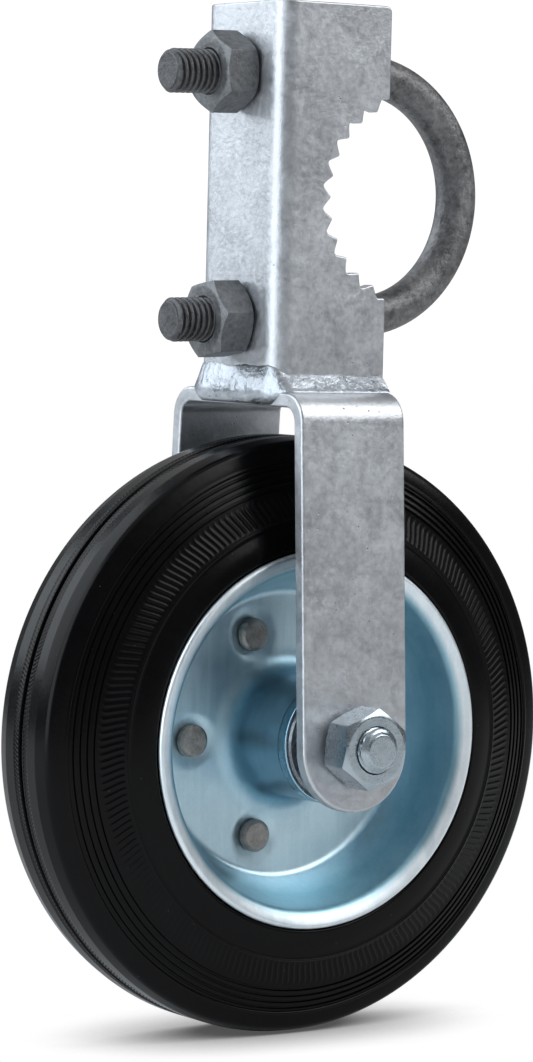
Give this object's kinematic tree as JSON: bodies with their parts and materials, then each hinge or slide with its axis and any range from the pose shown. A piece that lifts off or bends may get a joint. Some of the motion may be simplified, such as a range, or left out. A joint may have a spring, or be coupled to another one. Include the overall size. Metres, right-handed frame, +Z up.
{
  "type": "gate wheel",
  "caption": "Rubber-tyred gate wheel on a roller bearing in a galvanised steel fork, with a toothed channel clamp and U-bolt for a round gate tube.",
  "frame": {"origin": "on the axis of the clamped gate tube, midway between the two clamp flanges", "axes": "+Z up, +Y along the gate tube and the axle, +X from the clamp's web towards the U-bolt's bend; the wheel rolls along X"},
  "size_m": [0.16, 0.0933, 0.2745],
  "materials": {
    "galvanised_steel": "hot-dip galvanised, mottled grey, satin",
    "dark_galvanised_steel": "rough dark grey galvanised",
    "blue_passivated_zinc": "zinc plated and blue passivated, satin",
    "bright_zinc": "bright zinc plated",
    "rivet_steel": "dull worn steel with a thin zinc coat",
    "bearing_steel": "ground bearing steel",
    "cage_plastic": "natural nylon",
    "tyre_rubber": "black moulded rubber, slightly shiny"
  },
  "bodies": {
    "root": {"fork": "galvanised_steel", "clamp_channel": "galvanised_steel", "channel_weld": "galvanised_steel", "axle_bolt": "bright_zinc", "axle_nut": "bright_zinc", "axle_sleeve": "bearing_steel"},
    "wheel": {"tyre": "tyre_rubber", "rim_half_near": "blue_passivated_zinc", "rim_half_far": "blue_passivated_zinc", "hub_tube": "blue_passivated_zinc", "rivet_1": "rivet_steel", "rivet_2": "rivet_steel", "rivet_3": "rivet_steel", "rivet_4": "rivet_steel", "rivet_5": "rivet_steel", "dust_cap_near": "bright_zinc", "dust_cap_far": "bright_zinc"},
    "cage": {"roller_cage": "cage_plastic"},
    "roller_1": {"roller_1": "bearing_steel"},
    "roller_2": {"roller_2": "bearing_steel"},
    "roller_3": {"roller_3": "bearing_steel"},
    "roller_4": {"roller_4": "bearing_steel"},
    "roller_5": {"roller_5": "bearing_steel"},
    "roller_6": {"roller_6": "bearing_steel"},
    "roller_7": {"roller_7": "bearing_steel"},
    "roller_8": {"roller_8": "bearing_steel"},
    "roller_9": {"roller_9": "bearing_steel"},
    "roller_10": {"roller_10": "bearing_steel"},
    "u_bolt": {"u_bolt": "dark_galvanised_steel"},
    "clamp_nut_upper": {"clamp_nut_upper": "dark_galvanised_steel"},
    "clamp_nut_lower": {"clamp_nut_lower": "dark_galvanised_steel"}
  },
  "joints": [
    {"name": "wheel_spin", "type": "hinge", "parent": "root", "child": "wheel", "pos_m": [-0.026, 0, -0.1435], "axis": [0, 1, 0], "continuous": true},
    {"name": "cage_orbit", "type": "hinge", "parent": "root", "child": "cage", "pos_m": [-0.026, 0, -0.1435], "axis": [0, 1, 0], "continuous": true},
    {"name": "roller_1_spin", "type": "hinge", "parent": "cage", "child": "roller_1", "pos_m": [-0.016, 0, -0.1435], "axis": [0, 1, 0], "continuous": true},
    {"name": "roller_2_spin", "type": "hinge", "parent": "cage", "child": "roller_2", "pos_m": [-0.01791, 0, -0.14938], "axis": [0, 1, 0], "continuous": true},
    {"name": "roller_3_spin", "type": "hinge", "parent": "cage", "child": "roller_3", "pos_m": [-0.02291, 0, -0.15301], "axis": [0, 1, 0], "continuous": true},
    {"name": "roller_4_spin", "type": "hinge", "parent": "cage", "child": "roller_4", "pos_m": [-0.02909, 0, -0.15301], "axis": [0, 1, 0], "continuous": true},
    {"name": "roller_5_spin", "type": "hinge", "parent": "cage", "child": "roller_5", "pos_m": [-0.03409, 0, -0.14938], "axis": [0, 1, 0], "continuous": true},
    {"name": "roller_6_spin", "type": "hinge", "parent": "cage", "child": "roller_6", "pos_m": [-0.036, 0, -0.1435], "axis": [0, 1, 0], "continuous": true},
    {"name": "roller_7_spin", "type": "hinge", "parent": "cage", "child": "roller_7", "pos_m": [-0.03409, 0, -0.13762], "axis": [0, 1, 0], "continuous": true},
    {"name": "roller_8_spin", "type": "hinge", "parent": "cage", "child": "roller_8", "pos_m": [-0.02909, 0, -0.13399], "axis": [0, 1, 0], "continuous": true},
    {"name": "roller_9_spin", "type": "hinge", "parent": "cage", "child": "roller_9", "pos_m": [-0.02291, 0, -0.13399], "axis": [0, 1, 0], "continuous": true},
    {"name": "roller_10_spin", "type": "hinge", "parent": "cage", "child": "roller_10", "pos_m": [-0.01791, 0, -0.13762], "axis": [0, 1, 0], "continuous": true},
    {"name": "clamp_nut_turn", "type": "hinge", "parent": "root", "child": "clamp_nut_upper", "pos_m": [-0.04856, 0, 0.03238], "axis": [0.9996, 0, 0.0279], "range_deg": [-2050, 2400]},
    {"name": "clamp_nut_lower_turn", "type": "hinge", "parent": "root", "child": "clamp_nut_lower", "pos_m": [-0.04674, 0, -0.0327], "axis": [0.9996, 0, 0.0279], "range_deg": [-2050, 2400]},
    {"name": "u_bolt_slide", "type": "slide", "parent": "root", "child": "u_bolt", "axis": [0.9996, 0, 0.0279], "range_m": [-0.0116, 0.0099]}
  ],
  "couplings": [
    {"joint": "cage_orbit", "follows": "wheel_spin", "ratio": 0.6},
    {"joint": "roller_1_spin", "follows": "wheel_spin", "ratio": 2.4},
    {"joint": "roller_2_spin", "follows": "wheel_spin", "ratio": 2.4},
    {"joint": "roller_3_spin", "follows": "wheel_spin", "ratio": 2.4},
    {"joint": "roller_4_spin", "follows": "wheel_spin", "ratio": 2.4},
    {"joint": "roller_5_spin", "follows": "wheel_spin", "ratio": 2.4},
    {"joint": "roller_6_spin", "follows": "wheel_spin", "ratio": 2.4},
    {"joint": "roller_7_spin", "follows": "wheel_spin", "ratio": 2.4},
    {"joint": "roller_8_spin", "follows": "wheel_spin", "ratio": 2.4},
    {"joint": "roller_9_spin", "follows": "wheel_spin", "ratio": 2.4},
    {"joint": "roller_10_spin", "follows": "wheel_spin", "ratio": 2.4},
    {"joint": "clamp_nut_lower_turn", "follows": "u_bolt_slide", "rad_per_m": -3590.4},
    {"joint": "clamp_nut_turn", "follows": "u_bolt_slide", "rad_per_m": -3590.4}
  ]
}
